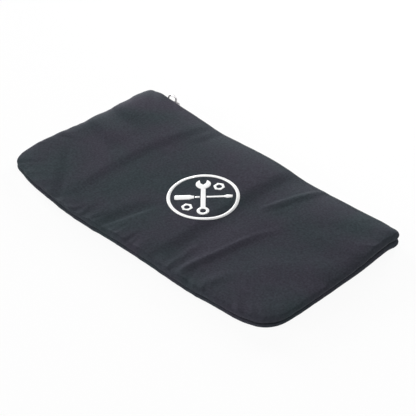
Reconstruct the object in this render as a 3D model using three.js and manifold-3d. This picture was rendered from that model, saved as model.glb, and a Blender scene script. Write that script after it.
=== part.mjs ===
// A flat zippered tool bag: two padded panels sewn together on three sides and closed by a zipper on the
// fourth. Millimetres. X runs along the zipper, +Y points out of the mouth, +Z is up.
// The origin is on the face that the bag lies on, below the middle of its outline.

import * as THREE from 'three';
import { mergeVertices } from 'three/addons/utils/BufferGeometryUtils.js';
import Module from 'manifold-3d';

const wasm = await Module();
wasm.setup();

// Outline of the bag
const BAG_LENGTH = 318;
const BAG_WIDTH = 175;
const MOUTH_CORNER_RADIUS = 9;
const BOTTOM_CORNER_RUN = 75;
const BOTTOM_CORNER_RISE = 26;
const CORNER_HANDLE_FROM_END = 12;
const CORNER_HANDLE_RISE = 4.42;
const CORNER_SIDE_HANDLE_RISE = 5.98;

// Layers of a panel
const SHELL_FABRIC = 0.7;
const FOAM = 3.0;
const LINING_FABRIC = 0.5;
const LAYER_GAP = 0.3;
const SEAM_ALLOWANCE = 8.2;
const LINING_EDGE_AT_SEAM = 3.5;
const LINING_EDGE_AT_MOUTH = 0.8;
const FOAM_EDGE_ROUND = 1.4;

// How the front panel bulges, and how far the lips stand apart
const CROWN = 4.1;
const CROWN_RUN = 40;
const RING_INSETS = [26, 14, 8];
const LIP_PART = 2.6;
const LIP_FOLD_INSIDE = 0.25;
const LIP_HEM = 6.65;

// Binding tape round the seam allowances
const BINDING_THICKNESS = 0.3;
const BINDING_LEG = 2.7;

// Zipper
const TAPE_THICKNESS = 0.5;
const TAPE_END_MARGIN = 8;
const CHAIN_WIDTH = 5.2;
const CHAIN_THICKNESS = 1.5;
const TOOTH_PITCH = 3.0;
const TOOTH_OVERLAP = 1.8;
const TOOTH_TAPER = 0.12;
const TOOTH_FROM_WEDGE = 1.2;
const CHAIN_END_MARGIN = 20;
const STOP_LENGTH = 2.0;
const STOP_GRIP = 1.0;
const STITCH_FROM_EDGE = 5;
const STITCH_WIDTH = 0.5;
const STITCH_HEIGHT = 0.35;

// Slider, its crown and the pull ring
const SLIDER_FROM_END = 34.7;
const SLIDER_LENGTH = 11;
const SLIDER_PLATE = 0.7;
const SLIDER_FLANGE = 0.6;
const SLIDER_CORNER = 1.6;
const RUNNING_CLEARANCE = 0.2;
const FLANGE_CLEARANCE = 0.4;
const WEDGE_LENGTH = 3.0;
const WEDGE_WIDTH = 2.0;
const CROWN_LENGTH = 8.6;
const CROWN_STRIP_WIDTH = 3.2;
const CROWN_STRIP_THICKNESS = 0.9;
const RING_WIRE = 1.7;
const RING_HEIGHT = 15;
const RING_LENGTH = 11.9;
const RING_CORNER = 1.8;
const RING_STRAIGHT = 3.4;
const RING_SHOULDER = 8.16;
const RING_SIDES = 8;
const RING_STEPS = 6;
const RING_ABOVE_FLOOR = 0.4;
const RING_TO_PLATE = 1.0;

// Sizes that follow from those above
const HALF_LENGTH = BAG_LENGTH / 2;
const HALF_WIDTH = BAG_WIDTH / 2;
const PANEL = 2 * SHELL_FABRIC + FOAM + LINING_FABRIC + 3 * LAYER_GAP;
const SEAM_ROLL = PANEL / 2;
const LIP_ROLL = SHELL_FABRIC + LIP_FOLD_INSIDE;
const SEAM_Z = PANEL + LAYER_GAP / 2;
const PANEL_TOP = 2 * SEAM_Z;
const LIP_HEM_Z = PANEL_TOP - 2 * LIP_ROLL;
const TAPE_Z = LIP_HEM_Z - LAYER_GAP - TAPE_THICKNESS;
const UPPER_TAPE_Z = TAPE_Z + LIP_PART;
const LOWER_TAPE_TOP = PANEL_TOP - TAPE_Z;
const SLIDER_HALF_HEIGHT = CHAIN_WIDTH / 2 + FLANGE_CLEARANCE + SLIDER_FLANGE;
const CHAIN_Z = LOWER_TAPE_TOP + LAYER_GAP + SLIDER_HALF_HEIGHT;
const INNER_PLATE_Y = HALF_WIDTH + LAYER_GAP;
const CHAIN_Y = INNER_PLATE_Y + SLIDER_PLATE + RUNNING_CLEARANCE + CHAIN_THICKNESS / 2;
const OUTER_PLATE_Y = CHAIN_Y + CHAIN_THICKNESS / 2 + RUNNING_CLEARANCE;
const SLIDER_X = SLIDER_FROM_END - HALF_LENGTH;
const CHAIN_END_X = HALF_LENGTH - CHAIN_END_MARGIN;
const RING_Y = OUTER_PLATE_Y + SLIDER_PLATE + RING_TO_PLATE + RING_WIRE / 2;
const MOUTH_HALF_LENGTH = HALF_LENGTH - MOUTH_CORNER_RADIUS;

const shellCloth = new THREE.MeshStandardMaterial({ color: 0x33363d, roughness: 0.92, metalness: 0 });
const liningCloth = new THREE.MeshStandardMaterial({ color: 0x25272b, roughness: 0.95, metalness: 0 });
const foam = new THREE.MeshStandardMaterial({ color: 0xb9b4a6, roughness: 0.9, metalness: 0 });
const bindingTape = new THREE.MeshStandardMaterial({ color: 0x1d1e21, roughness: 0.9, metalness: 0 });
const zipperTape = new THREE.MeshStandardMaterial({ color: 0x1f2024, roughness: 0.88, metalness: 0 });
const teethPlastic = new THREE.MeshStandardMaterial({ color: 0x141416, roughness: 0.4, metalness: 0 });
const thread = new THREE.MeshStandardMaterial({ color: 0x202126, roughness: 0.8, metalness: 0 });
const sliderMetal = new THREE.MeshStandardMaterial({ color: 0xb9b7b8, roughness: 0.32, metalness: 0.9 });

const bag = new THREE.Group();

function addPiece(name, geometry, material) {
  const mesh = new THREE.Mesh(geometry, material);
  mesh.name = name;
  bag.add(mesh);
  return mesh;
}

// Turns an indexed body inside out if its faces point in.
function facingOut(geometry) {
  const at = geometry.attributes.position;
  const index = geometry.index.array;
  const [a, b, c] = [new THREE.Vector3(), new THREE.Vector3(), new THREE.Vector3()];
  let volume = 0;
  for (let i = 0; i < index.length; i += 3) {
    a.fromBufferAttribute(at, index[i]);
    b.fromBufferAttribute(at, index[i + 1]);
    c.fromBufferAttribute(at, index[i + 2]);
    volume += a.dot(b.cross(c));
  }
  if (volume < 0) {
    for (let i = 0; i < index.length; i += 3) {
      [index[i], index[i + 1]] = [index[i + 1], index[i]];
    }
  }
  return geometry;
}

function bodyFrom(points, triangles) {
  const geometry = new THREE.BufferGeometry();
  geometry.setAttribute('position', new THREE.Float32BufferAttribute(points.flatMap((p) => p.toArray()), 3));
  geometry.setIndex(triangles);
  return facingOut(geometry);
}

// One closed skin through rings of points, with a single point at each end.
function skinThroughRings(firstPole, rings, lastPole) {
  const count = rings[0].length;
  const triangles = [];
  const last = 1 + rings.length * count;
  for (let i = 0; i < count; i += 1) {
    const next = (i + 1) % count;
    triangles.push(0, 1 + i, 1 + next);
    for (let r = 0; r + 1 < rings.length; r += 1) {
      const inner = 1 + r * count;
      const outer = inner + count;
      triangles.push(inner + i, outer + i, outer + next);
      triangles.push(inner + i, outer + next, inner + next);
    }
    const end = last - count;
    triangles.push(end + next, end + i, last);
  }
  return bodyFrom([firstPole, ...rings.flat(), lastPole], triangles);
}

// A bar of one section swept through stations, with flat ends.
// Every section is a loop of points in the same order.
function barThroughSections(sections, flatSection) {
  const count = flatSection.length;
  const triangles = [];
  for (let s = 0; s + 1 < sections.length; s += 1) {
    for (let k = 0; k < count; k += 1) {
      const a = s * count + k;
      const b = s * count + ((k + 1) % count);
      triangles.push(a, b, b + count, a, b + count, a + count);
    }
  }
  const far = (sections.length - 1) * count;
  for (const [p, q, r] of THREE.ShapeUtils.triangulateShape(flatSection, [])) {
    triangles.push(r, q, p, far + p, far + q, far + r);
  }
  return bodyFrom(sections.flat(), triangles);
}

// A round wire along a closed flat loop in a plane of constant Y.
function closedWire(loop, y, diameter, sides) {
  const points = [];
  const triangles = [];
  loop.forEach((p, i) => {
    const before = loop[(i + loop.length - 1) % loop.length];
    const after = loop[(i + 1) % loop.length];
    const outX = after.y - before.y;
    const outZ = before.x - after.x;
    const length = Math.hypot(outX, outZ);
    for (let k = 0; k < sides; k += 1) {
      const angle = (2 * Math.PI * k) / sides;
      const out = (Math.cos(angle) * diameter) / 2 / length;
      const across = (Math.sin(angle) * diameter) / 2;
      points.push(new THREE.Vector3(p.x + outX * out, y + across, p.y + outZ * out));
      const here = i * sides;
      const there = ((i + 1) % loop.length) * sides;
      const next = (k + 1) % sides;
      triangles.push(here + k, there + k, there + next, here + k, there + next, here + next);
    }
  });
  return bodyFrom(points, triangles);
}

function boxBetween(low, high) {
  const size = high.map((value, i) => value - low[i]);
  const middle = high.map((value, i) => (value + low[i]) / 2);
  return new THREE.BoxGeometry(...size).translate(...middle);
}

// A flat outline in X and Z, made thick along Y from one face to the other.
function plateAlongY(shape, fromY, toY, curveSegments = 4) {
  const settings = { depth: toY - fromY, bevelEnabled: false, curveSegments };
  const geometry = new THREE.ExtrudeGeometry(shape, settings);
  return geometry.rotateX(Math.PI / 2).translate(0, toY, 0);
}

// A flat outline in Y and Z, made long along X.
function barAlongX(outline, fromX, toX) {
  const shape = new THREE.Shape(outline.map(([y, z]) => new THREE.Vector2(y, z)));
  const geometry = new THREE.ExtrudeGeometry(shape, { depth: toX - fromX, bevelEnabled: false });
  const turn = new THREE.Matrix4().set(0, 0, 1, fromX, 1, 0, 0, 0, 0, 1, 0, 0, 0, 0, 0, 1);
  return geometry.applyMatrix4(turn);
}

function solidOf(geometry) {
  const bare = geometry.clone();
  bare.deleteAttribute('normal');
  bare.deleteAttribute('uv');
  const merged = mergeVertices(bare, 1e-5);
  const vertProperties = new Float32Array(merged.attributes.position.array);
  const triVerts = new Uint32Array(merged.index.array);
  return new wasm.Manifold(new wasm.Mesh({ numProp: 3, vertProperties, triVerts }));
}

function joined(geometries) {
  const { vertProperties, triVerts } = geometries.map(solidOf).reduce((all, one) => all.add(one)).getMesh();
  const geometry = new THREE.BufferGeometry();
  geometry.setAttribute('position', new THREE.Float32BufferAttribute(vertProperties, 3));
  geometry.setIndex(Array.from(triVerts));
  return geometry;
}

// Stations round the outline, counterclockwise seen from above.
// mouth is 1 along the zipper edge, 0 along the sewn edges, and in between at the corners that join them.
function outlineStations() {
  const bottomY = -HALF_WIDTH;
  const bottomX = HALF_LENGTH - BOTTOM_CORNER_RUN;
  const riseY = bottomY + BOTTOM_CORNER_RISE;
  const cornerY = HALF_WIDTH - MOUTH_CORNER_RADIUS;
  const at = (x, y) => new THREE.Vector2(x, y);
  const sewn = () => 0;
  const bottomCorner = (side) => [
    at(side * bottomX, bottomY),
    at(side * (HALF_LENGTH - CORNER_HANDLE_FROM_END), bottomY + CORNER_HANDLE_RISE),
    at(side * HALF_LENGTH, bottomY + CORNER_SIDE_HANDLE_RISE),
    at(side * HALF_LENGTH, riseY),
  ];
  const mouthCorner = (side, from) => new THREE.EllipseCurve(
    side * MOUTH_HALF_LENGTH, cornerY, MOUTH_CORNER_RADIUS, MOUTH_CORNER_RADIUS, from, from + Math.PI / 2,
  );
  const stretches = [
    [new THREE.LineCurve(at(-bottomX, bottomY), at(bottomX, bottomY)), 4, sewn],
    [new THREE.CubicBezierCurve(...bottomCorner(1)), 8, sewn],
    [new THREE.LineCurve(at(HALF_LENGTH, riseY), at(HALF_LENGTH, cornerY)), 3, sewn],
    [mouthCorner(1, 0), 4, (t) => t],
    [new THREE.LineCurve(at(MOUTH_HALF_LENGTH, HALF_WIDTH), at(-MOUTH_HALF_LENGTH, HALF_WIDTH)), 6, () => 1],
    [mouthCorner(-1, Math.PI / 2), 4, (t) => 1 - t],
    [new THREE.LineCurve(at(-HALF_LENGTH, cornerY), at(-HALF_LENGTH, riseY)), 3, sewn],
    [new THREE.CubicBezierCurve(...bottomCorner(-1).reverse()), 8, sewn],
  ];
  return stretches.flatMap(([curve, steps, mouth]) => Array.from({ length: steps }, (_, i) => ({
    place: curve.getPoint(i / steps),
    mouth: mouth(i / steps),
  })));
}

const stations = outlineStations();

function between(atSeam, atMouth, mouth) {
  return atSeam + (atMouth - atSeam) * mouth;
}

// How far the front panel is raised at a distance in from the outline.
function crownAt(inset, mouth) {
  const edge = LIP_PART * mouth;
  const left = 1 - Math.min(inset, CROWN_RUN) / CROWN_RUN;
  return edge + (CROWN - edge) * (1 - left * left);
}

// A point of the front panel, or of the back panel as its mirror image without the crown.
function panelPoint(front, station, inset, z) {
  const x = station.place.x * (1 - inset / HALF_LENGTH);
  const y = station.place.y * (1 - inset / HALF_WIDTH);
  return new THREE.Vector3(x, y, front ? z + crownAt(inset, station.mouth) : PANEL_TOP - z);
}

function panelRing(front, insetAt, zAt) {
  return stations.map((s) => panelPoint(front, s, insetAt(s.mouth), zAt(s.mouth)));
}

function panelPole(front, z) {
  return new THREE.Vector3(0, 0, front ? z + CROWN : PANEL_TOP - z);
}

const FIELD_INSETS = [CROWN_RUN, ...RING_INSETS];

function fieldRings(front, z) {
  return FIELD_INSETS.map((inset) => panelRing(front, () => inset, () => z));
}

// The seam allowances of both panels rise together towards the middle of the pocket between them.
const HEM_RISE = crownAt(SEAM_ALLOWANCE, 0) / 2;

function hemRiseAt(inset) {
  return (HEM_RISE * (inset - SEAM_ROLL)) / (SEAM_ALLOWANCE - SEAM_ROLL);
}

// Outer cloth: over the panel, round the edge and turned in as a hem.
// fromFace is 0 on the outside of the cloth and its thickness on the inside.
function clothRings(front, fromFace) {
  const rollAt = (mouth) => between(SEAM_ROLL, LIP_ROLL, mouth);
  const rings = fieldRings(front, PANEL_TOP - fromFace);
  for (const degrees of [90, 45, 0, -45, -90]) {
    const angle = THREE.MathUtils.degToRad(degrees);
    rings.push(panelRing(
      front,
      (mouth) => rollAt(mouth) - Math.cos(angle) * (rollAt(mouth) - fromFace),
      (mouth) => PANEL_TOP - rollAt(mouth) + Math.sin(angle) * (rollAt(mouth) - fromFace),
    ));
  }
  const hemEndAt = (mouth) => between(SEAM_ALLOWANCE, LIP_ROLL + LIP_HEM, mouth);
  rings.push(stations.map((s) => {
    const z = PANEL_TOP - 2 * rollAt(s.mouth) + fromFace;
    const point = panelPoint(front, s, hemEndAt(s.mouth), z);
    const crown = front ? between(crownAt(hemEndAt(0), 0), crownAt(hemEndAt(1), 1) - LIP_PART, s.mouth) : 0;
    point.z += HEM_RISE * (1 - s.mouth) - crown;
    return point;
  }));
  return rings;
}

function shell(front) {
  const outside = clothRings(front, 0);
  const inside = clothRings(front, SHELL_FABRIC).reverse();
  return skinThroughRings(
    panelPole(front, PANEL_TOP),
    [...outside, ...inside],
    panelPole(front, PANEL_TOP - SHELL_FABRIC),
  );
}

function padding(front) {
  const top = PANEL_TOP - SHELL_FABRIC - LAYER_GAP;
  const bottom = top - FOAM;
  const edgeAtMouth = LIP_ROLL + LIP_HEM + 2 * LAYER_GAP;
  const edgeAt = (mouth) => (mouth > 0 ? edgeAtMouth : 2 * SHELL_FABRIC);
  const fullAt = (mouth) => edgeAt(mouth) + FOAM_EDGE_ROUND;
  const field = (z) => fieldRings(front, z).slice(0, -1);
  const rings = [
    ...field(top),
    panelRing(front, fullAt, () => top),
    panelRing(front, edgeAt, () => (top + bottom) / 2),
    panelRing(front, fullAt, () => bottom),
    ...field(bottom).reverse(),
  ];
  return skinThroughRings(panelPole(front, top), rings, panelPole(front, bottom));
}

// The lining lies outside the hems along the seams and inside them at the lips, so between the two it stops
// short of them.
function lining(front) {
  const top = PANEL_TOP - SHELL_FABRIC - FOAM - 2 * LAYER_GAP;
  const bottom = top - LINING_FABRIC;
  const turn = SEAM_ALLOWANCE + LAYER_GAP;
  const atCorner = (mouth) => mouth > 0 && mouth < 1;
  const straightEdge = (mouth) => between(LINING_EDGE_AT_SEAM, LINING_EDGE_AT_MOUTH, mouth);
  const edgeAt = (mouth) => (atCorner(mouth) ? turn : straightEdge(mouth));
  const fullAt = (mouth) => Math.max(FIELD_INSETS.at(-1), edgeAt(mouth) + LAYER_GAP);
  const field = (z) => fieldRings(front, z).slice(0, -1);
  const rings = [
    ...field(top),
    panelRing(front, fullAt, () => top),
    panelRing(front, edgeAt, () => top),
    panelRing(front, edgeAt, () => bottom),
    panelRing(front, fullAt, () => bottom),
    ...field(bottom).reverse(),
  ];
  return skinThroughRings(panelPole(front, top), rings, panelPole(front, bottom));
}

// A tape folded round the raw edges of both seam allowances, along the three sewn sides.
function seamBinding() {
  const tip = SEAM_ALLOWANCE + LAYER_GAP;
  const legStart = tip + BINDING_THICKNESS - BINDING_LEG;
  const hemHalf = LAYER_GAP / 2 + SHELL_FABRIC;
  const inner = hemHalf + LAYER_GAP;
  const outer = inner + BINDING_THICKNESS;
  const section = [
    [legStart, outer],
    [legStart, inner],
    [tip, inner],
    [tip, -inner],
    [legStart, -inner],
    [legStart, -outer],
    [tip + BINDING_THICKNESS, -outer],
    [tip + BINDING_THICKNESS, outer],
  ].map(([inset, height]) => new THREE.Vector2(inset, height));
  const half = stations.length / 2;
  const firstSewn = stations.findIndex((s, i) => i > half && s.mouth === 0);
  const turned = [...stations.slice(firstSewn), ...stations.slice(0, firstSewn)];
  const sewn = turned.filter((s) => s.mouth === 0);
  const sections = sewn.map((s) => section.map((p) => {
    const point = panelPoint(false, s, p.x, 0);
    return point.setZ(SEAM_Z + p.y + hemRiseAt(p.x));
  }));
  return barThroughSections(sections, section);
}

addPiece('back_shell', shell(false), shellCloth);
addPiece('back_padding', padding(false), foam);
addPiece('back_lining', lining(false), liningCloth);
addPiece('seam_binding', seamBinding(), bindingTape);
addPiece('front_shell', shell(true), shellCloth);
addPiece('front_padding', padding(true), foam);
addPiece('front_lining', lining(true), liningCloth);

// Zipper tapes come out of the lips and turn towards each other outside them
const TAPE_HALF_LENGTH = MOUTH_HALF_LENGTH - TAPE_END_MARGIN;
const TAPE_ROOT_Y = HALF_WIDTH - LIP_ROLL - LIP_HEM;
const CHAIN_LOW = CHAIN_Z - CHAIN_WIDTH / 2;
const CHAIN_HIGH = CHAIN_Z + CHAIN_WIDTH / 2;

function zipperTapePiece(flatFrom, flatTo, edge) {
  const outside = CHAIN_Y + TAPE_THICKNESS / 2;
  const inside = CHAIN_Y - TAPE_THICKNESS / 2;
  const outline = [
    [TAPE_ROOT_Y, flatFrom],
    [outside, flatFrom],
    [outside, edge],
    [inside, edge],
    [inside, flatTo],
    [TAPE_ROOT_Y, flatTo],
  ];
  const turned = edge > flatFrom ? outline : outline.reverse();
  return barAlongX(turned, -TAPE_HALF_LENGTH, TAPE_HALF_LENGTH);
}

const LOWER_TAPE_EDGE = CHAIN_LOW - LAYER_GAP;
const UPPER_TAPE_EDGE = CHAIN_HIGH + LAYER_GAP;
const UPPER_TAPE_TOP = UPPER_TAPE_Z + TAPE_THICKNESS;
const lowerTape = zipperTapePiece(LOWER_TAPE_TOP - TAPE_THICKNESS, LOWER_TAPE_TOP, LOWER_TAPE_EDGE);
const upperTape = zipperTapePiece(UPPER_TAPE_TOP, UPPER_TAPE_Z, UPPER_TAPE_EDGE);
addPiece('lower_zip_tape', lowerTape, zipperTape);
addPiece('upper_zip_tape', upperTape, zipperTape);

// Each row of teeth is one comb moulded on the edge of its tape
const TOOTH_LENGTH = TOOTH_PITCH / 2 - LAYER_GAP;
const FIRST_TOOTH_X = SLIDER_X - SLIDER_LENGTH / 2 + WEDGE_LENGTH + TOOTH_FROM_WEDGE;
const TEETH = Math.floor((CHAIN_END_X - FIRST_TOOTH_X) / TOOTH_PITCH);

function teeth(direction, startX) {
  const base = CHAIN_Z - (direction * CHAIN_WIDTH) / 2;
  const root = CHAIN_Z - direction * (TOOTH_OVERLAP / 2 + LAYER_GAP);
  const tip = CHAIN_Z + (direction * TOOTH_OVERLAP) / 2;
  const outline = [];
  for (let i = 0; i < TEETH; i += 1) {
    const x = startX + i * TOOTH_PITCH;
    outline.push([x, root], [x + TOOTH_TAPER, tip]);
    outline.push([x + TOOTH_LENGTH - TOOTH_TAPER, tip], [x + TOOTH_LENGTH, root]);
  }
  outline.push([startX + (TEETH - 1) * TOOTH_PITCH + TOOTH_LENGTH, base], [startX, base]);
  const shape = new THREE.Shape(outline.map(([x, z]) => new THREE.Vector2(x, z)));
  return plateAlongY(shape, CHAIN_Y - CHAIN_THICKNESS / 2, CHAIN_Y + CHAIN_THICKNESS / 2);
}

addPiece('lower_teeth', teeth(1, FIRST_TOOTH_X), teethPlastic);
addPiece('upper_teeth', teeth(-1, FIRST_TOOTH_X + TOOTH_PITCH / 2), teethPlastic);

// Stops: two clipped over the tape edges in front of the slider, and one block at the other end of the chain
function topStop(edge, direction) {
  const x = SLIDER_X - SLIDER_LENGTH / 2 - LAYER_GAP - STOP_LENGTH;
  const halfOutside = CHAIN_THICKNESS / 2 + RUNNING_CLEARANCE;
  const halfSlot = TAPE_THICKNESS / 2 + RUNNING_CLEARANCE;
  const open = edge - direction * STOP_GRIP / 2;
  const slotEnd = edge + direction * LAYER_GAP;
  const closed = edge + direction * (LAYER_GAP + STOP_GRIP);
  const outline = [
    [CHAIN_Y - halfOutside, open],
    [CHAIN_Y - halfSlot, open],
    [CHAIN_Y - halfSlot, slotEnd],
    [CHAIN_Y + halfSlot, slotEnd],
    [CHAIN_Y + halfSlot, open],
    [CHAIN_Y + halfOutside, open],
    [CHAIN_Y + halfOutside, closed],
    [CHAIN_Y - halfOutside, closed],
  ];
  return barAlongX(direction > 0 ? outline : outline.reverse(), x, x + STOP_LENGTH);
}

function bottomStop() {
  const x = FIRST_TOOTH_X + TEETH * TOOTH_PITCH + TOOTH_PITCH / 2;
  const half = CHAIN_THICKNESS / 2 + RUNNING_CLEARANCE;
  return boxBetween([x, CHAIN_Y - half, CHAIN_LOW], [x + STOP_LENGTH, CHAIN_Y + half, CHAIN_HIGH]);
}

addPiece('lower_top_stop', topStop(LOWER_TAPE_EDGE, 1), sliderMetal);
addPiece('upper_top_stop', topStop(UPPER_TAPE_EDGE, -1), sliderMetal);
addPiece('bottom_stop', bottomStop(), sliderMetal);

// Rows of thread that hold the tapes in the lips
function lipStitching(z) {
  const y = HALF_WIDTH - STITCH_FROM_EDGE;
  const end = MOUTH_HALF_LENGTH - TAPE_END_MARGIN;
  return boxBetween([-end, y, z], [end, y + STITCH_WIDTH, z + STITCH_HEIGHT]);
}

const STITCH_TOP_Z = PANEL_TOP + crownAt(STITCH_FROM_EDGE, 1) + LAYER_GAP / 2;
addPiece('upper_lip_stitching', lipStitching(STITCH_TOP_Z), thread);
addPiece('lower_lip_stitching', lipStitching(LOWER_TAPE_TOP + LAYER_GAP), thread);

// Slider: two plates held apart by a wedge at the closing end, with flanges that keep the teeth between them
function sliderPlate(fromY, toY) {
  const left = SLIDER_X - SLIDER_LENGTH / 2;
  const right = SLIDER_X + SLIDER_LENGTH / 2;
  const low = CHAIN_Z - SLIDER_HALF_HEIGHT;
  const high = CHAIN_Z + SLIDER_HALF_HEIGHT;
  const shape = new THREE.Shape();
  shape.moveTo(left + SLIDER_CORNER, low);
  shape.lineTo(right - SLIDER_CORNER / 2, low);
  shape.lineTo(right, low + SLIDER_CORNER / 2);
  shape.lineTo(right, high - SLIDER_CORNER / 2);
  shape.lineTo(right - SLIDER_CORNER / 2, high);
  shape.lineTo(left + SLIDER_CORNER, high);
  shape.quadraticCurveTo(left, high, left, high - SLIDER_CORNER);
  shape.lineTo(left, low + SLIDER_CORNER);
  shape.quadraticCurveTo(left, low, left + SLIDER_CORNER, low);
  return plateAlongY(shape, fromY, toY, 3);
}

function sliderBody() {
  const overlap = SLIDER_PLATE / 2;
  const slotHalf = TAPE_THICKNESS / 2 + LAYER_GAP;
  const innerFace = INNER_PLATE_Y + SLIDER_PLATE;
  const flangeFrom = SLIDER_X - SLIDER_LENGTH / 2 + SLIDER_CORNER;
  const flangeTo = SLIDER_X + SLIDER_LENGTH / 2 - SLIDER_CORNER / 2;
  const pieces = [
    sliderPlate(INNER_PLATE_Y, innerFace),
    sliderPlate(OUTER_PLATE_Y, OUTER_PLATE_Y + SLIDER_PLATE),
  ];
  for (const flangeZ of [CHAIN_Z - SLIDER_HALF_HEIGHT, CHAIN_Z + SLIDER_HALF_HEIGHT - SLIDER_FLANGE]) {
    const top = flangeZ + SLIDER_FLANGE;
    const sides = [
      [innerFace - overlap, CHAIN_Y - slotHalf],
      [CHAIN_Y + slotHalf, OUTER_PLATE_Y + overlap],
    ];
    for (const [fromY, toY] of sides) {
      pieces.push(boxBetween([flangeFrom, fromY, flangeZ], [flangeTo, toY, top]));
    }
  }
  const wedge = new THREE.Shape();
  const left = SLIDER_X - SLIDER_LENGTH / 2;
  wedge.moveTo(left, CHAIN_Z);
  wedge.lineTo(left + WEDGE_LENGTH / 2, CHAIN_Z - WEDGE_WIDTH / 2);
  wedge.lineTo(left + WEDGE_LENGTH, CHAIN_Z);
  wedge.lineTo(left + WEDGE_LENGTH / 2, CHAIN_Z + WEDGE_WIDTH / 2);
  pieces.push(plateAlongY(wedge, innerFace - overlap, OUTER_PLATE_Y + overlap));
  return joined(pieces);
}

// Crown: the arch on the slider's outer plate that holds the ring
function sliderCrown() {
  const foot = OUTER_PLATE_Y + SLIDER_PLATE + LAYER_GAP;
  const inside = RING_Y + RING_WIRE / 2 + LAYER_GAP;
  const outside = inside + CROWN_STRIP_THICKNESS;
  const half = CROWN_LENGTH / 2;
  const insideHalf = half - CROWN_STRIP_THICKNESS;
  const bend = (inside - foot) / 2;
  const shape = new THREE.Shape();
  shape.moveTo(SLIDER_X - half, foot);
  shape.lineTo(SLIDER_X - half, inside - bend);
  shape.quadraticCurveTo(SLIDER_X - half, outside, SLIDER_X - insideHalf + bend, outside);
  shape.lineTo(SLIDER_X + insideHalf - bend, outside);
  shape.quadraticCurveTo(SLIDER_X + half, outside, SLIDER_X + half, inside - bend);
  shape.lineTo(SLIDER_X + half, foot);
  shape.lineTo(SLIDER_X + insideHalf, foot);
  shape.lineTo(SLIDER_X + insideHalf, inside - bend);
  shape.quadraticCurveTo(SLIDER_X + insideHalf, inside, SLIDER_X + insideHalf - bend, inside);
  shape.lineTo(SLIDER_X - insideHalf + bend, inside);
  shape.quadraticCurveTo(SLIDER_X - insideHalf, inside, SLIDER_X - insideHalf, inside - bend);
  shape.lineTo(SLIDER_X - insideHalf, foot);
  const depth = CROWN_STRIP_WIDTH;
  const geometry = new THREE.ExtrudeGeometry(shape, { depth, bevelEnabled: false, curveSegments: 4 });
  return geometry.translate(0, 0, CHAIN_Z - depth / 2);
}

// Pull: a loop of wire with one straight side, which turns in the crown
function pullRing() {
  const radius = RING_WIRE / 2;
  const low = RING_ABOVE_FLOOR + radius;
  const high = RING_ABOVE_FLOOR + RING_HEIGHT - radius;
  const middle = (low + high) / 2;
  const farEnd = SLIDER_X - (RING_LENGTH - RING_WIRE);
  const shoulder = SLIDER_X - RING_SHOULDER;
  const straightEnd = SLIDER_X - RING_STRAIGHT;
  const path = new THREE.Path();
  path.moveTo(SLIDER_X, middle);
  path.lineTo(SLIDER_X, high - RING_CORNER);
  path.absarc(SLIDER_X - RING_CORNER, high - RING_CORNER, RING_CORNER, 0, Math.PI / 2);
  path.lineTo(straightEnd, high);
  path.bezierCurveTo(shoulder, high, farEnd, middle + RING_STRAIGHT, farEnd, middle);
  path.bezierCurveTo(farEnd, middle - RING_STRAIGHT, shoulder, low, straightEnd, low);
  path.lineTo(SLIDER_X - RING_CORNER, low);
  path.absarc(SLIDER_X - RING_CORNER, low + RING_CORNER, RING_CORNER, -Math.PI / 2, 0);
  path.lineTo(SLIDER_X, middle);
  const loop = path.getPoints(RING_STEPS).filter((p, i, all) => i === 0 || p.distanceTo(all[i - 1]) > 1e-3);
  loop.pop();
  return closedWire(loop, RING_Y, RING_WIRE, RING_SIDES);
}

addPiece('slider_body', sliderBody(), sliderMetal);
addPiece('slider_crown', sliderCrown(), sliderMetal);
addPiece('pull_ring', pullRing(), sliderMetal);

export default bag;
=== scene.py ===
"""Looks of a flat zippered tool bag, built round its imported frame.

Lengths are in millimetres until a mesh is made, and the objects are in metres.
X runs along the zipper, +Y points out of the mouth and +Z is up.
"""

import math

import bmesh
import bpy
import numpy as np
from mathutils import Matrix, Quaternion, Vector
from mathutils.bvhtree import BVHTree
from mathutils.geometry import tessellate_polygon


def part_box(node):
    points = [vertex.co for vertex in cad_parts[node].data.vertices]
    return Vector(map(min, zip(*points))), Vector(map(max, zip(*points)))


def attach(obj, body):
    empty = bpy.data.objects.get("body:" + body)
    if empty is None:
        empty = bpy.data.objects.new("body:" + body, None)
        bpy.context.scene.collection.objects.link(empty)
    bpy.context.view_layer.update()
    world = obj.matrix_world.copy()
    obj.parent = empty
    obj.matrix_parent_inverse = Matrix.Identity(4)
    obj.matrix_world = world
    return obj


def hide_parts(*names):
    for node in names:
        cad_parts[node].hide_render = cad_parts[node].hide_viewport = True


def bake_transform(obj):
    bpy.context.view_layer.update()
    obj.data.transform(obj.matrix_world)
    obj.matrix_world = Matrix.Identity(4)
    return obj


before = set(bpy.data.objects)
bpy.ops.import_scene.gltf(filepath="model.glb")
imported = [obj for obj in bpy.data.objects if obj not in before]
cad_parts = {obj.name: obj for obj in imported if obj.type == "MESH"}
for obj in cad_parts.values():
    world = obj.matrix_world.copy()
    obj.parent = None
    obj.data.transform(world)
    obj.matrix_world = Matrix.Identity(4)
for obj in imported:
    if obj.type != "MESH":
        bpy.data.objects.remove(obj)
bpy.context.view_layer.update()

MM = 0.001


def box_mm(node):
    """The lowest and highest corner of a node of the frame, in millimetres."""
    low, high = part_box(node)
    return np.array(low) / MM, np.array(high) / MM


# Sizes that come from the frame
HALF_LENGTH, HALF_WIDTH = box_mm("front_shell")[1][:2]
PULL_LOW, PULL_HIGH = box_mm("pull_ring")
LOWER_TEETH_LOW, LOWER_TEETH_HIGH = box_mm("lower_teeth")
UPPER_TEETH_LOW, UPPER_TEETH_HIGH = box_mm("upper_teeth")
TAPE_LOW, TAPE_HIGH = box_mm("upper_zip_tape")
LOWER_TAPE_LOW, LOWER_TAPE_HIGH = box_mm("lower_zip_tape")

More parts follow.
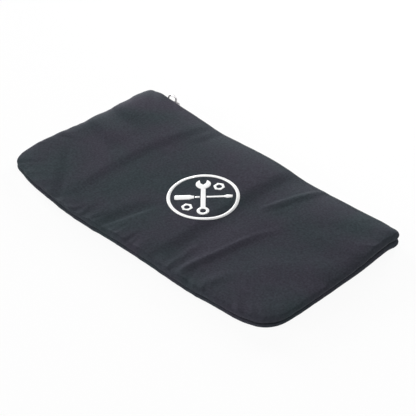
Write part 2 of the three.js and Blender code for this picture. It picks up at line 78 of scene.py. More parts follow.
# The plain outline, as in the solids. The corners at the bottom seam are curves with two handles each
MOUTH_CORNER_RADIUS = 9
BOTTOM_CORNER_RUN = 75
BOTTOM_CORNER_RISE = 26
CORNER_HANDLE_FROM_END = 12
CORNER_HANDLE_RISE = 4.42
CORNER_SIDE_HANDLE_RISE = 5.98
OUTLINE_STEPS = 220
# Stations round the outline, for the front panel, the back panel and what lies inside
FRONT_STATIONS = 720
BACK_STATIONS = 480
INNER_STATIONS = 240

# How far the outline lies outside the plain one: a place on it, and the distance
OUTLINE_BOW = [
    (-84, -87.5, 0.4), (-66, -87.5, 1.4), (-50, -87.5, 1.3), (-34, -87.5, 0.8), (-17, -87.5, 0),
    (0, -87.5, -0.3), (25, -87.5, -0.3), (45, -87.5, 0.1), (62, -87.5, 0.5), (78, -87.5, 0.3),
    (101, -86.2, -0.3), (122, -84.4, 0.2), (135, -82.7, 0.4), (145, -80.3, -0.6), (156, -73.4, -1.3),
    (159, -60, 1.3), (159, -48, 2.0), (159, -25, 2.0), (159, 5, 1.6), (159, 27, 1.1),
    (159, 43, 0.3), (159, 60, -1.1), (159, 75, -1.6), (156.4, 84.9, 0.2), (150, 87.5, -0.6),
    (138, 87.5, -0.85), (125, 87.5, -1.5), (110, 87.5, -1.9), (90, 87.5, -2.2), (70, 87.5, -2.5),
    (55, 87.5, -2.7), (41, 87.5, -2.3), (26, 87.5, -1.7), (5, 87.5, -1.2), (-18, 87.5, -1.6),
    (-34, 87.5, -2.0), (-57, 87.5, -2.6), (-80, 87.5, -1.6), (-96, 87.5, -1.0), (-112, 87.5, -0.5),
    (-124, 87.5, 0.1), (-137, 87.5, 0.8), (-147, 87.5, 2.4), (-152, 87.5, 2.3), (-156.4, 84.9, -0.9),
    (-159, 70, -1.1), (-159, 47, -0.9), (-159, 30, -0.1), (-159, 10, 0.1), (-159, -4, 1.6),
    (-159, -17, 2.8), (-159, -31, 4.1), (-159, -44, 5.2), (-159, -60, 4.3), (-156, -73.4, 0.9),
    (-145, -80.3, -1.9), (-135, -82.7, -1.4), (-122, -84.4, -0.7), (-101, -86.2, -0.4),
]
# How far the front panel's edge stands out beyond the back panel's
FRONT_OVERHANG = [
    (-130, -84, 0.2), (-84, -87.5, 0.7), (0, -87.5, 0.8), (84, -87.5, 0.7), (150, -78, 0.5),
    (159, -20, 0.7), (159, 60, 0.4), (120, 87.5, 0), (0, 87.5, 0), (-120, 87.5, 0), (-159, 40, 0),
    (-159, -40, 0),
]
# Height of the side and bottom seams
SEAM_HEIGHT = [
    (-140, -81, 5.0), (-84, -87.5, 4.9), (0, -87.5, 4.9), (84, -87.5, 4.7), (145, -80, 4.5),
    (159, -50, 4.9), (159, 0, 5.8), (159, 50, 7.1), (156, 85, 7.8), (120, 87.5, 7.7), (0, 87.5, 7.5),
    (-120, 87.5, 7.6), (-156, 85, 7.6), (-159, 50, 6.9), (-159, 0, 5.9), (-159, -50, 5.3),
]
# How wide the upper half of the front panel's rolled edge is
ROLL_WIDTH = [
    (-140, -81, 4), (0, -87.5, 3.0), (120, -84, 3.2), (159, -40, 2.8), (159, 30, 2.9),
    (156, 85, 3.2), (120, 87.5, 4), (0, 87.5, 4), (-120, 87.5, 4), (-156, 85, 6), (-159, 60, 8.5),
    (-159, -50, 8.5), (-154, -75, 8),
]
# Half the height of the front panel's rolled edge
ROLL_HEIGHT = [
    (-140, -81, 2.4), (0, -87.5, 2.9), (120, -84, 2.9), (159, -40, 3.0), (159, 20, 3.0),
    (159, 62, 3.8), (150, 87, 3.1), (-150, 87, 2.9), (-159, 60, 3.0), (-159, 42, 2.7),
    (-159, 15, 3.1), (-159, 0, 3.1), (-159, -45, 2.9), (-156, -73, 1.8),
]
# How far in from the edge the front panel rounds off
EDGE_RUN = [
    (-140, -81, 7), (0, -87.5, 5), (140, -81, 5.5), (159, 0, 5.5), (159, 60, 4.5), (156, 85, 4.5),
    (144, 87.5, 8), (120, 87.5, 14), (0, 87.5, 15), (-120, 87.5, 14), (-156, 85, 10), (-159, 60, 8),
    (-159, 42, 9), (-159, 15, 5), (-159, -40, 5), (-156, -73, 9),
]
# Height of the small puckers that the seam thread draws into the cloth
PUCKER_HEIGHT = [
    (-155, -74, 0.22), (-122, -84, 0.3), (-100, -86, 0.55), (-70, -87.5, 0.95), (-40, -87.5, 1.0),
    (-10, -87.5, 0.75), (25, -87.5, 0.6), (60, -87.5, 0.8), (84, -87.5, 0.65), (115, -85.5, 0.55),
    (145, -80, 0.6), (158, -66, 0.4), (159, -20, 0.28), (159, 50, 0.22), (120, 87.5, 0.1),
    (0, 87.5, 0.1), (-120, 87.5, 0.1), (-159, 50, 0.4), (-159, 0, 0.35), (-159, -50, 0.35),
]
# Height of the top of the upper lip along X
LIP_TOP = [
    (-159, 14.6), (-145, 15.2), (-137, 14.8), (-124, 14.6), (-117, 14.4), (-112, 14.1), (-96, 13.6),
    (-80, 12.9), (-57, 12.2), (-34, 12.6), (-19, 13.1), (5, 13.6), (26, 13.2), (41, 12.5), (57, 12.2),
    (70, 12.2), (90, 12.9), (110, 13.2), (125, 13.4), (138, 13.9), (148, 13.6), (159, 13.2),
]
# How far the chain of teeth bows in with the lips, and sags, along X
CHAIN_BOW = [
    (-142, 0), (-116, 0), (-96, -1.0), (-57, -2.5), (-19, -1.6), (5, -1.2), (26, -1.7), (55, -2.7),
    (90, -1.8), (112, -0.8), (128, 0), (142, 0),
]
CHAIN_SAG = [
    (-142, 0), (-116, 0), (-57, -0.9), (0, -0.5), (57, -0.9), (100, -0.4), (128, 0), (142, 0),
]
# Height of the swell before the mouth along X, and where along Y it starts and how far it takes
MOUTH_SWELL = [(-159, 2.8), (40, 2.6), (90, 2.2), (125, 1.4), (159, 1.0)]
MOUTH_SWELL_FROM = -20
MOUTH_SWELL_WIDTH = 90

# Top of the front panel: its level, its rise from the middle to the mouth, and its dome
FRONT_LEVEL = 12.7
FRONT_TILT = 2.2
DOME = 1.5
# Thickness of the padded cloth
PADDING = 3.9
BACK_PADDING = 4.0
# Half the height of each lip's rolled edge, and where along X the mouth ends
LIP_ROLL = 1.35
LOWER_LIP_ROLL = 1.05
MOUTH_END = 150
MOUTH_END_RUN = 14
MOUTH_EDGE_RUN = 1.5
# The seam: the gap between the hems, how far they turn in, and the waver of their height
HEM_GAP = 0.1
SEAM_ALLOWANCE = 8.2
LIP_HEM = 6.3
SEAM_WAVER = 0.3
SEAM_WAVER_SPACING = 5.5
SEAM_WAVER_SEED = 5
# Puckers: the spacing, share and seed of the ripples that they are made of, and how far in they fade
FRONT_RIPPLES = [(8.5, 0.75, 11), (3.4, 0.4, 23)]
BACK_RIPPLES = [(7.5, 0.7, 37), (3.1, 0.4, 41)]
BACK_PUCKER_SHARE = 0.7
PUCKER_RUN = 9
# The groove that the row of stitches draws into the lip
STITCH_INSET = 4.6
STITCH_SINK = 0.08
STITCH_GROOVE = 1.1
# Rings of the skins: the core of the top face, its field, the rolled edge, the inner face and the underside
CORE_START = 0.02
CORE_RINGS = 52
FIELD_INSET = 60
FIELD_RINGS = 46
FIELD_CROWDING = 1.7
ROLL_STEPS = 12
INNER_FACE_INSETS = (SEAM_ALLOWANCE + 0.4, 14, 26, 40, FIELD_INSET)
UNDERSIDE_INSETS = (70, 50, 30, 16, 9, 6)

# Folds and creases of the front panel. Each is the line of its crest, then the height and width of
# its rise on the left hand, the depth and width of its drop on the right hand, and the width in
# which the cloth comes back from there
FOLDS = [
    ([(59, -112), (62, -64), (67, -42), (70, -22), (74, -6), (80, 8), (92, 24)], 0.5, 4, 0.85, 7.5, 34),
    ([(50, 14), (60, 46), (66, 66), (82, 140)], 0.5, 4, 0.5, 8, 24),
    ([(28, -108), (26, -50), (26, 0), (27, 50), (33, 160)], 0.7, 46, 0.9, 15, 26),
    ([(51, -108), (48, -62), (46, -36)], 0.35, 4.5, 0.35, 7, 8),
    ([(-86, -86), (-89, -40), (-89, -10), (-86, 18), (-80, 44), (-74, 68), (-64, 130)], 0.4, 18, 0.5, 12, 44),
    ([(-62, 46), (-60, 68), (-59, 104)], 0.25, 6, 0.25, 8, 8),
    ([(-48, -96), (-39, -64), (-33, -44), (-25, -22)], 0.2, 18, 0.65, 14, 5),
    ([(85, -108), (89, -74), (95, -48)], 0.6, 9, 0.15, 8, 18),
    ([(-80, -112), (-104, -78), (-122, -58), (-138, -43), (-158, -28)], 0.4, 12, 0.6, 9, 6),
    ([(-77, -104), (-72, -72)], 0.2, 6, 0.45, 8, 5),
    ([(-57, -104), (-57, -66)], 0.4, 4, 0.15, 5, 8),
    ([(-48, -104), (-44, -70)], 0.2, 6, 0.55, 6, 4),
    ([(-4, -104), (-3, -72)], 0.15, 6, 0.3, 6, 6),
    ([(45, -104), (36, -70)], 0.35, 6, 0.3, 5, 6),
    ([(-176, 50), (-146, 46), (-108, 37)], 0.9, 22, 0.8, 12, 22),
    ([(-176, 19), (-144, 13), (-98, -2)], 0.7, 16, 0.7, 10, 24),
    ([(98, -38), (128, -6), (176, 26)], 0.35, 14, 0.1, 25, 20),
    ([(100, 24), (134, 40), (176, 64)], 0.3, 14, 0.1, 20, 20),
    ([(120, -88), (146, -66), (172, -38)], 0.3, 9, 0.2, 10, 14),
    ([(-66, -50), (-60, -20), (-56, 20)], 0.15, 20, 0.15, 16, 20),
    ([(166, 20), (168, 80), (166, 140)], 1.1, 28, 0.1, 10, 10),
]
FOLD_STEPS = 40
# The shares of its length in which a fold grows and fades
FOLD_START = 0.2
FOLD_END = 0.4
# The share of a fold that is left at the edge, and the inset from which it is whole
FOLD_AT_EDGE = 0.5
FOLD_EASE = 13


def smoothstep(t):
    """Rises smoothly from 0 to 1 as t does."""
    t = np.clip(t, 0, 1)
    return t * t * (3 - 2 * t)


def between(start, end, share):
    return start + (end - start) * share


def distances(points):
    """How far along a line each of its points lies."""
    return np.concatenate([[0], np.cumsum(np.hypot(*np.diff(points, axis=0).T))])


def unit(rows):
    """Flat vectors, one to a row, made one long."""
    return rows / np.hypot(*rows.T)[:, None]


def angles_round(count):
    return np.arange(count) * 2 * math.pi / count


def bezier(a, b, c, d, t):
    """Points of a curve from a to d with the handles b and c."""
    a, b, c, d = (np.array(p, float) for p in (a, b, c, d))
    s = 1 - t
    return s**3 * a + 3 * s * s * t * b + 3 * s * t * t * c + t**3 * d


def smooth_through(knots, values, at, period=None):
    """A smooth line through values at rising knots, read at other places.

    With a period it closes on itself.
    """
    knots, values = np.asarray(knots, float), np.asarray(values, float)
    if period:
        knots = np.concatenate([knots[-2:] - period, knots, knots[:2] + period])
        values = np.concatenate([values[-2:], values, values[:2]])
    slopes = np.gradient(values, knots)
    i = np.clip(np.searchsorted(knots, at) - 1, 0, len(knots) - 2)
    step = knots[i + 1] - knots[i]
    t = np.clip((at - knots[i]) / step, 0, 1)
    start = values[i] * (1 + 2 * t) + slopes[i] * step * t
    end = values[i + 1] * (3 - 2 * t) - slopes[i + 1] * step * (1 - t)
    return start * (1 - t) ** 2 + end * t * t


def ripple(along, spacing, period, seed):
    """A smooth random line from -1 to 1 that closes on itself, with a value about every spacing."""
    count = round(period / spacing)
    values = np.random.default_rng(seed).uniform(-1, 1, count)
    return smooth_through(np.arange(count) * period / count, values, along, period)


def plain_outline():
    """The closed outline without its bow, counterclockwise seen from above."""
    t = np.linspace(0, 1, OUTLINE_STEPS, endpoint=False)[:, None]
    bottom_x = HALF_LENGTH - BOTTOM_CORNER_RUN
    rise_y = BOTTOM_CORNER_RISE - HALF_WIDTH
    corner_x = HALF_LENGTH - MOUTH_CORNER_RADIUS
    corner_y = HALF_WIDTH - MOUTH_CORNER_RADIUS

    def line(a, b):
        return (1 - t) * np.array(a) + t * np.array(b)

    def bottom_corner(side):
        start = (side * bottom_x, -HALF_WIDTH)
        handle = (side * (HALF_LENGTH - CORNER_HANDLE_FROM_END), CORNER_HANDLE_RISE - HALF_WIDTH)
        side_handle = (side * HALF_LENGTH, CORNER_SIDE_HANDLE_RISE - HALF_WIDTH)
        end = (side * HALF_LENGTH, rise_y)
        return start, handle, side_handle, end

    def mouth_corner(side, start):
        angle = start + t * math.pi / 2
        x = side * corner_x + MOUTH_CORNER_RADIUS * np.cos(angle)
        return np.hstack([x, corner_y + MOUTH_CORNER_RADIUS * np.sin(angle)])

    return np.vstack([
        line((-bottom_x, -HALF_WIDTH), (bottom_x, -HALF_WIDTH)),
        bezier(*bottom_corner(1), t),
        line((HALF_LENGTH, rise_y), (HALF_LENGTH, corner_y)),
        mouth_corner(1, 0),
        line((corner_x, HALF_WIDTH), (-corner_x, HALF_WIDTH)),
        mouth_corner(-1, math.pi / 2),
        line((-HALF_LENGTH, corner_y), (-HALF_LENGTH, rise_y)),
        bezier(*reversed(bottom_corner(-1)), t),
    ])


class Rim:
    """Stations at even distances round the outline, with the values that change from one to the next."""

    def __init__(self, count, front):
        points = plain_outline()
        closed = np.vstack([points, points[:1]])
        along = distances(closed)
        self.length = along[-1]
        self.along = np.arange(count) * self.length / count
        self.plain = plain = np.stack([np.interp(self.along, along, closed[:, k]) for k in (0, 1)], axis=1)
        tangent = unit(np.roll(plain, -2, axis=0) - np.roll(plain, 2, axis=0))
        outward = np.stack([tangent[:, 1], -tangent[:, 0]], axis=1)
        out = self.around(OUTLINE_BOW) + (self.around(FRONT_OVERHANG) if front else 0)
        self.x, self.y = (plain + outward * out[:, None]).T
        on_mouth_side = smoothstep((plain[:, 1] - HALF_WIDTH + MOUTH_EDGE_RUN) / MOUTH_EDGE_RUN)
        self.mouth = smoothstep((MOUTH_END - np.abs(plain[:, 0])) / MOUTH_END_RUN) * on_mouth_side
        waver = ripple(self.along, SEAM_WAVER_SPACING, self.length, SEAM_WAVER_SEED)
        self.seam = self.around(SEAM_HEIGHT) + SEAM_WAVER * waver * (1 - self.mouth)
        self.pucker = self.around(PUCKER_HEIGHT)
        self.lip_top = along_x(LIP_TOP, self.x)

    def around(self, knots):
        """A value at each station, smooth through those that are given at a few places on the outline."""
        places = np.array([k[:2] for k in knots], float)
        far = np.linalg.norm(self.plain[None] - places[:, None], axis=2)
        at = self.along[far.argmin(axis=1)]
        order = np.argsort(at)
        values = np.array([k[2] for k in knots], float)
        return smooth_through(at[order], values[order], self.along, self.length)

    def ripples(self, kinds):
        """Ripples of several kinds added up. Each kind is a spacing, a share and a seed."""
        return sum(k * ripple(self.along, spacing, self.length, seed) for spacing, k, seed in kinds)

    def ring(self, inset, z):
        """A ring of points that lies an inset in from the outline."""
        x = self.x * (1 - inset / HALF_LENGTH)
        y = self.y * (1 - inset / HALF_WIDTH)
        return np.stack([x, y, np.broadcast_to(z, x.shape)], axis=1)

    def hem(self, roll, lip_roll, z):
        """The two rings of a hem that turns in under or over a rolled edge."""
        end = between(SEAM_ALLOWANCE, lip_roll + LIP_HEM, self.mouth)
        return [self.ring((roll + end) / 2, z), self.ring(end, z)]


def along_x(knots, x):
    """A value at each x, smooth through those that are given at a few places."""
    return smooth_through(*zip(*knots), x)


def front_level(x, y):
    """The height of the front panel's top without its folds."""
    dome = np.clip(1 - (x / HALF_LENGTH) ** 2, 0, 1) * np.clip(1 - (y / HALF_WIDTH) ** 2, 0, 1)
    swell = along_x(MOUTH_SWELL, x) * smoothstep((y - MOUTH_SWELL_FROM) / MOUTH_SWELL_WIDTH)
    return FRONT_LEVEL + FRONT_TILT * y / HALF_WIDTH + DOME * dome + swell


def fold_line(points):
    """The crest of a fold, smooth through the given points."""
    knots = distances(points)
    at = np.linspace(0, knots[-1], FOLD_STEPS)
    return np.stack([smooth_through(knots, [p[k] for p in points], at) for k in (0, 1)], axis=1)


def fold_height(x, y):
    """How far all the folds together raise the cloth at each point."""
    total = np.zeros_like(x)
    here = np.stack([x, y], axis=1)
    for points, rise, rise_width, drop, drop_width, return_width in FOLDS:
        line = fold_line(points)
        reach = max(rise_width, drop_width + return_width)
        low, high = line.min(axis=0) - reach, line.max(axis=0) + reach
        near = np.flatnonzero(((here > low) & (here < high)).all(axis=1))
        if len(near) == 0:
            continue
        start, step = line[:-1], np.diff(line, axis=0)
        offset = here[near][:, None] - start[None]
        share = np.clip((offset * step).sum(axis=2) / (step * step).sum(axis=1), 0, 1)
        gap = offset - share[:, :, None] * step[None]
        far = np.hypot(gap[:, :, 0], gap[:, :, 1])
        k = far.argmin(axis=1)
        rows = np.arange(len(near))
        right = step[k, 1] * gap[rows, k, 0] - step[k, 0] * gap[rows, k, 1]
        far = far[rows, k]
        falling = rise - (rise + drop) * smoothstep(far / drop_width)
        after = falling + drop * smoothstep((far - drop_width) / return_width)
        profile = np.where(right > 0, after, rise * smoothstep(1 - far / rise_width))
        along = (k + share[rows, k]) / len(step)
        total[near] += profile * smoothstep(along / FOLD_START) * smoothstep((1 - along) / FOLD_END)
    return total


def add_object(name, data):
    """A new object in the scene."""
    obj = bpy.data.objects.new(name, data)
    bpy.context.scene.collection.objects.link(obj)
    return obj


def mesh_object(name, points, faces):
    """A new smooth-shaded object from points in millimetres."""
    mesh = bpy.data.meshes.new(name)
    mesh.from_pydata((np.asarray(points, float) * MM).tolist(), [], faces)
    mesh.update()
    work = bmesh.new()
    work.from_mesh(mesh)
    bmesh.ops.recalc_face_normals(work, faces=work.faces)
    work.to_mesh(mesh)
    work.free()
    mesh.polygons.foreach_set("use_smooth", [True] * len(mesh.polygons))
    return add_object(name, mesh)


def skin(name, first_pole, rings, last_pole):
    """A closed skin through rings of points, with a single point at each end."""
    count = len(rings[0])
    last = 1 + len(rings) * count
    i = np.arange(count)
    following = (i + 1) % count
    faces = [(0, 1 + a, 1 + b) for a, b in zip(i, following)]
    for r in range(len(rings) - 1):
        inner = 1 + r * count
        outer = inner + count
        faces += [(inner + a, outer + a, outer + b, inner + b) for a, b in zip(i, following)]
    faces += [(last - count + b, last - count + a, last) for a, b in zip(i, following)]
    return mesh_object(name, np.vstack([first_pole, *rings, last_pole]), faces)


class FrontPanel:
    """The front panel's outer skin: a padded field that rolls over the edge and turns in as a hem."""

    def __init__(self, stations):
        self.rim = rim = Rim(stations, front=True)
        side_roll = rim.around(ROLL_HEIGHT)
        self.roll = between(side_roll, LIP_ROLL, rim.mouth)
        self.edge_top = between(rim.seam + HEM_GAP / 2 + 2 * side_roll, rim.lip_top, rim.mouth)
        self.centre_z = self.edge_top - self.roll
        self.run = rim.around(EDGE_RUN)
        self.wide = between(rim.around(ROLL_WIDTH), LIP_ROLL, rim.mouth)
        step = front_level(rim.x, rim.y) - self.edge_top
        self.turn = np.arctan2(self.roll * self.run, self.wide * step)
        self.start_inset = self.wide * (1 - np.cos(self.turn))
        self.start_z = self.centre_z + self.roll * np.sin(self.turn)
        self.pucker = rim.pucker * rim.ripples(FRONT_RIPPLES)

    def top_ring(self, inset, scale=1):
        """A ring of the top face. A scale under 1 draws the ring together towards the middle."""
        past = np.maximum(inset - self.start_inset, 0)
        ring = self.rim.ring(inset, self.start_z)
        ring[:, :2] *= scale
        level = front_level(ring[:, 0], ring[:, 1])
        ring[:, 2] += (level - self.start_z) * (1 - np.exp(-past / self.run))
        share = between(FOLD_AT_EDGE, 1, smoothstep(past / FOLD_EASE))
        ring[:, 2] += share * fold_height(ring[:, 0], ring[:, 1])
        ring[:, 2] += self.pucker * np.exp(-past / PUCKER_RUN)
        groove = np.exp(-(((inset - STITCH_INSET) / STITCH_GROOVE) ** 2))
        ring[:, 2] -= STITCH_SINK * groove * self.rim.mouth
        return ring

    def roll_ring(self, share):
        """A ring round the rolled edge, from share 0 at the top face to share 1 at its bottom."""
        angle = self.turn + (-math.pi / 2 - self.turn) * share
        width = np.where(angle > 0, self.wide, self.roll)
        pucker = self.pucker * (1 - share)
        inset = width - np.cos(angle) * (width + pucker)
        ring = self.rim.ring(inset, self.centre_z + np.sin(angle) * (self.roll + pucker))
        ring[:, 2] += FOLD_AT_EDGE * (1 - share) * fold_height(ring[:, 0], ring[:, 1])
        return ring

    def build(self):
        rings = [self.top_ring(FIELD_INSET, k) for k in np.linspace(CORE_START, 1, CORE_RINGS)[:-1]]
        for q in np.linspace(1, 0, FIELD_RINGS):
            rings.append(self.top_ring(between(self.start_inset, FIELD_INSET, q**FIELD_CROWDING)))
        rings += [self.roll_ring(s) for s in np.linspace(0, 1, ROLL_STEPS + 1)[1:]]
        rings += self.rim.hem(self.roll, LIP_ROLL, self.edge_top - 2 * self.roll)
        for inset in INNER_FACE_INSETS:
            ring = self.top_ring(inset)
            ring[:, 2] -= PADDING
            rings.append(ring)
        middle = self.middle()
        return skin("front_panel_cloth", (0, 0, middle), rings, (0, 0, middle - PADDING))

    def middle(self):
        """The height of the top face at the origin."""
        return fold_height(np.zeros(1), np.zeros(1))[0] + front_level(0, 0)


class BackPanel:
    """The back panel's outer skin, which lies flat on the ground and rolls up to the seam."""

    def __init__(self):
        self.rim = rim = Rim(BACK_STATIONS, front=False)
        self.roll = between((rim.seam - HEM_GAP / 2) / 2, LOWER_LIP_ROLL, rim.mouth)
        self.pucker = BACK_PUCKER_SHARE * rim.pucker * rim.ripples(BACK_RIPPLES)

    def roll_ring(self, share):
        """A ring round the rolled edge, from share 0 on the ground to share 1 at its top."""
        angle = -math.pi / 2 + math.pi * share
        radius = self.roll + self.pucker * np.sin(math.pi * share) ** 2
        return self.rim.ring(self.roll - np.cos(angle) * radius, self.roll + np.sin(angle) * self.roll)

    def build(self):
        rings = [self.rim.ring(inset, 0) for inset in UNDERSIDE_INSETS]
        rings += [self.roll_ring(s) for s in np.linspace(0, 1, ROLL_STEPS + 1)]
        rings += self.rim.hem(self.roll, LOWER_LIP_ROLL, 2 * self.roll)
        rings += [self.rim.ring(inset, BACK_PADDING) for inset in INNER_FACE_INSETS]
        return skin("back_panel_cloth", (0, 0, 0), rings, (0, 0, BACK_PADDING))


# Zipper tapes: their thickness and bend, and how far they reach into the lips and the teeth
TAPE = 0.5
TAPE_BEND = 1.3
TAPE_BEND_STEPS = 7
TAPE_IN_LIP = 7.2
TAPE_IN_TEETH = 1.4
TAPE_STEP = 2
# Teeth, with a tooth's height above its foot on the tape and its half width there
TOOTH_PITCH = 3
TOOTH_CHAMFER = 0.12
TOOTH_PROFILE = [
    (0, 0.6), (0.3, 0.72), (1.35, 0.72), (1.85, 0.46), (2.3, 0.46), (2.65, 0.64), (3.1, 0.64), (3.5, 0.4),
]

# Lining and binding. The edge counts as sewn up to a small share of the mouth
LINING = 0.5
LINING_GAP = 0.4
LINING_INSETS = (60, 40, 26, 14, 9.6)
BINDING = 0.5
BINDING_HEIGHT = 2.0
BINDING_INSET = 8.7
SEWN_SHARE = 0.05
# Stitches
STITCH_LENGTH = 2.3
STITCH_PITCH = 3.0
STITCH_RADIUS = 0.24
STITCH_END_RADIUS = 0.02
STITCH_RINGS = 7
STITCH_SIDES = 8
STITCH_FLATNESS = 0.5
STITCH_LIFT = 0.1
STITCH_ROW_HALF = 141
# The pull's wire: its corners, and how far from them its straight and its tapered stretch end
RING_CORNER = 1.8
RING_STRAIGHT = 3.4
RING_SHOULDER = 8.16
RING_STEPS = 10
RING_SIDES = 16
METAL_CHAMFER = 0.2

# The height from which the cloth's top is looked for
ABOVE_ALL = 40


def band(path, thickness):
    """The closed outline of a band of even thickness along an open path of (y, z) points."""
    path = np.asarray(path, float)
    along = unit(np.gradient(path, axis=0))
    side = np.stack([-along[:, 1], along[:, 0]], axis=1) * thickness / 2
    return np.vstack([path + side, (path - side)[::-1]])


def tube_faces(count, sides, closed=False):
    """The faces of a tube through closed loops of as many points each, with flat ends unless it closes."""
    i = np.arange(sides)
    following = (i + 1) % sides
    faces = []
    for r in range(count if closed else count - 1):
        here, there = r * sides, (r + 1) % count * sides
        faces += [(here + a, here + b, there + b, there + a) for a, b in zip(i, following)]
    if not closed:
        faces += [tuple(i[::-1]), tuple(i + (count - 1) * sides)]
    return faces


def sweep(name, sections, closed=False):
    """A tube through cross-sections, which are closed loops of as many points each."""
    sections = np.asarray(sections, float)
    count, sides = sections.shape[:2]
    return mesh_object(name, sections.reshape(-1, 3), tube_faces(count, sides, closed))


def joined(name, parts):
    """One mesh out of several lists of points with their faces."""
    points, faces = [], []
    for part_points, part_faces in parts:
        faces += [tuple(len(points) + k for k in face) for face in part_faces]
        points += list(part_points)
    return mesh_object(name, points, faces)


def open_with_mouth(obj):
    """Bakes obj's placement into its mesh and reads its points.
    """
    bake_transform(obj)
    points = np.empty(3 * len(obj.data.vertices))
    obj.data.vertices.foreach_get("co", points)


class Top:
    """The top side of a cloth, on which things are laid."""

    def __init__(self, obj):
        mesh = obj.data
        self.tree = BVHTree.FromPolygons([v.co for v in mesh.vertices], [p.vertices for p in mesh.polygons])

    def lay(self, x, y, lift):
        """The point above (x, y) that lies a lift above the cloth."""
        hit, normal, _, _ = self.tree.ray_cast(Vector((x, y, ABOVE_ALL)) * MM, Vector((0, 0, -1)))
        normal = normal if normal.z > 0 else -normal
        return np.array(hit + normal * lift * MM) / MM


class Lip:
    """The mouth edge of a panel: how far out it lies along X."""

    def __init__(self, rim):
        on_mouth = rim.mouth > 0.5
        order = np.argsort(rim.x[on_mouth])
        self.x, self.out = rim.x[on_mouth][order], rim.y[on_mouth][order]

    def y(self, x):
        return np.interp(x, self.x, self.out)


def tape_sections(lip, low, high, side):
    """Sections of a zipper tape from its lip to its teeth: side 1 bends down and -1 bends up."""
    angles = np.radians(np.linspace(90, 0, TAPE_BEND_STEPS))
    teeth = UPPER_TEETH_HIGH[2] if side > 0 else LOWER_TEETH_LOW[2]
    sections = []
    for x in np.arange(low[0], high[0] + TAPE_STEP / 2, TAPE_STEP):
        flat_z = tape_height(x, side)
        out_y = high[1] - TAPE / 2 + along_x(CHAIN_BOW, x)
        in_y = lip.y(x) - TAPE_IN_LIP
        path = [(in_y + k * (out_y - TAPE_BEND - in_y), flat_z) for k in (0, 0.5)]
        for a in angles:
            bend_y, bend_z = TAPE_BEND * (1 - math.cos(a)), TAPE_BEND * (1 - math.sin(a))
            path.append((out_y - bend_y, flat_z - side * bend_z))
        path.append((out_y, teeth - side * TAPE_IN_TEETH + along_x(CHAIN_SAG, x)))
        sections.append([(x, y, z) for y, z in band(path, TAPE)])
    return sections


def tape_height(x, side):
    """The height of the middle of a tape in its lip."""
    if side > 0:
        return along_x(LIP_TOP, x) - 2 * LIP_ROLL - HEM_GAP - TAPE / 2
    return 2 * LOWER_LIP_ROLL + HEM_GAP + TAPE / 2


def tooth(x, y_low, y_high, foot, side):
    """The points and faces of a tooth whose foot is at a height: side 1 points down and -1 up."""
    right = [(x + w, foot - side * d) for d, w in TOOTH_PROFILE]
    left = [(x - w, foot - side * d) for d, w in reversed(TOOTH_PROFILE)]
    outline = right + left
    n = len(outline)
    points = [(px, y, pz) for y in (y_low, y_high) for px, pz in outline]
    faces = [tuple(range(n)), tuple(range(n, 2 * n))[::-1]]
    faces += [(k, (k + 1) % n, n + (k + 1) % n, n + k) for k in range(n)]
    return points, faces


def teeth_row(name, low, high, side):
    """A row of teeth between the corners of its solid, along the bowed chain."""
    parts = []
    half = max(w for _, w in TOOTH_PROFILE)
    for x in np.arange(low[0] + half, high[0], TOOTH_PITCH):
        foot = (high[2] if side > 0 else low[2]) + along_x(CHAIN_SAG, x)
        bow = along_x(CHAIN_BOW, x)
        parts.append(tooth(x, low[1] + bow, high[1] + bow, foot, side))
    obj = joined(name, parts)
    chamfer(obj, TOOTH_CHAMFER)
    return obj


def chamfer(obj, width):
    bevel = obj.modifiers.new("rounded edges", "BEVEL")
    bevel.width = width * MM
    bevel.segments = 2
    bevel.limit_method = "ANGLE"


def lining(name, ring, middle):
    """A thin closed sheet whose upper face runs through rings of the given function."""
    upper = [ring(d) for d in LINING_INSETS]
    lower = [r - np.array([0, 0, LINING]) for r in reversed(upper)]
    return skin(name, (0, 0, middle), upper + lower, (0, 0, middle - LINING))


def seam_binding(rim):
    """The tape round the raw edges inside, from one end of the mouth along the sewn sides to the other."""
    sewn = rim.mouth <= SEWN_SHARE
    first = np.flatnonzero(~sewn & np.roll(sewn, -1))[0] + 1
    order = (first + np.arange(np.count_nonzero(sewn))) % len(sewn)
    low, high = rim.seam - BINDING_HEIGHT / 2, rim.seam + BINDING_HEIGHT / 2
    inner = BINDING_INSET + BINDING
    corners = [(inner, low), (inner, high), (BINDING_INSET, high), (BINDING_INSET, low)]
    return sweep("seam_binding_tape", np.stack([rim.ring(inset, z)[order] for inset, z in corners], axis=1))


def stitch(ends):
    """The points and faces of a stitch that dives in at both ends."""
    start, end = (np.array(p, float) for p in ends)
    along = (end - start) / np.linalg.norm(end - start)
    across = np.array([-along[1], along[0], 0])
    up = np.cross(along, across)
    points = []
    for t in np.linspace(0, 1, STITCH_RINGS):
        dive = (2 * t - 1) ** 4
        radius = STITCH_RADIUS * (1 - dive) ** 0.5 + STITCH_END_RADIUS
        centre = start + (end - start) * t - up * STITCH_RADIUS * dive
        for a in angles_round(STITCH_SIDES):
            points.append(centre + radius * (math.cos(a) * across + STITCH_FLATNESS * math.sin(a) * up))
    return points, tube_faces(STITCH_RINGS, STITCH_SIDES)


def stitch_row(name, spot):
    """A row of stitches along X, laid at the spots that a function of x gives."""
    starts = np.arange(-STITCH_ROW_HALF, STITCH_ROW_HALF - STITCH_LENGTH, STITCH_PITCH)
    return joined(name, [stitch((spot(x), spot(x + STITCH_LENGTH))) for x in starts])


